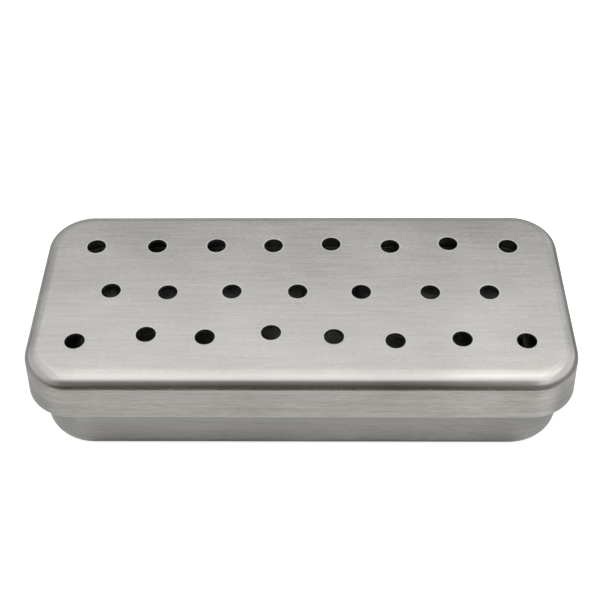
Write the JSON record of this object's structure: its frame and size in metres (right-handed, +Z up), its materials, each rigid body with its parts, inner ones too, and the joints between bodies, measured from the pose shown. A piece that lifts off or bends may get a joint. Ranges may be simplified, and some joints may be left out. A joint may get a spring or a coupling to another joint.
{
  "type": "gutta-percha holder",
  "caption": "Flat rectangular stainless box with rounded corners, a perforated lift-off lid and a partitioned inner tray that keeps gutta-percha points sorted for sterilising.",
  "frame": {"origin": "middle of the base's flat underside, on the table the box stands on", "axes": "+X along the box, +Y towards its back, +Z up through the perforated lid"},
  "size_m": [0.0926, 0.041, 0.02],
  "materials": {
    "base_steel": "stainless, brushed along the box on its walls, satin bend",
    "insert_steel": "stainless, satin",
    "lid_steel": "stainless, brushed along the box on top and skirt, smoother round the bend"
  },
  "bodies": {
    "base": {"base_tray": "base_steel"},
    "insert": {"inner_tray": "insert_steel", "divider_1": "insert_steel", "divider_2": "insert_steel", "divider_3": "insert_steel", "divider_4": "insert_steel", "divider_5": "insert_steel", "divider_6": "insert_steel", "divider_7": "insert_steel"},
    "lid": {"lid": "lid_steel"}
  },
  "joints": [
    {"name": "insert_lift", "type": "slide", "parent": "base", "child": "insert", "axis": [0, 0, 1], "range_m": [0, 0.025]},
    {"name": "lid_lift", "type": "slide", "parent": "insert", "child": "lid", "axis": [0, 0, 1], "range_m": [0, 0.035]}
  ]
}
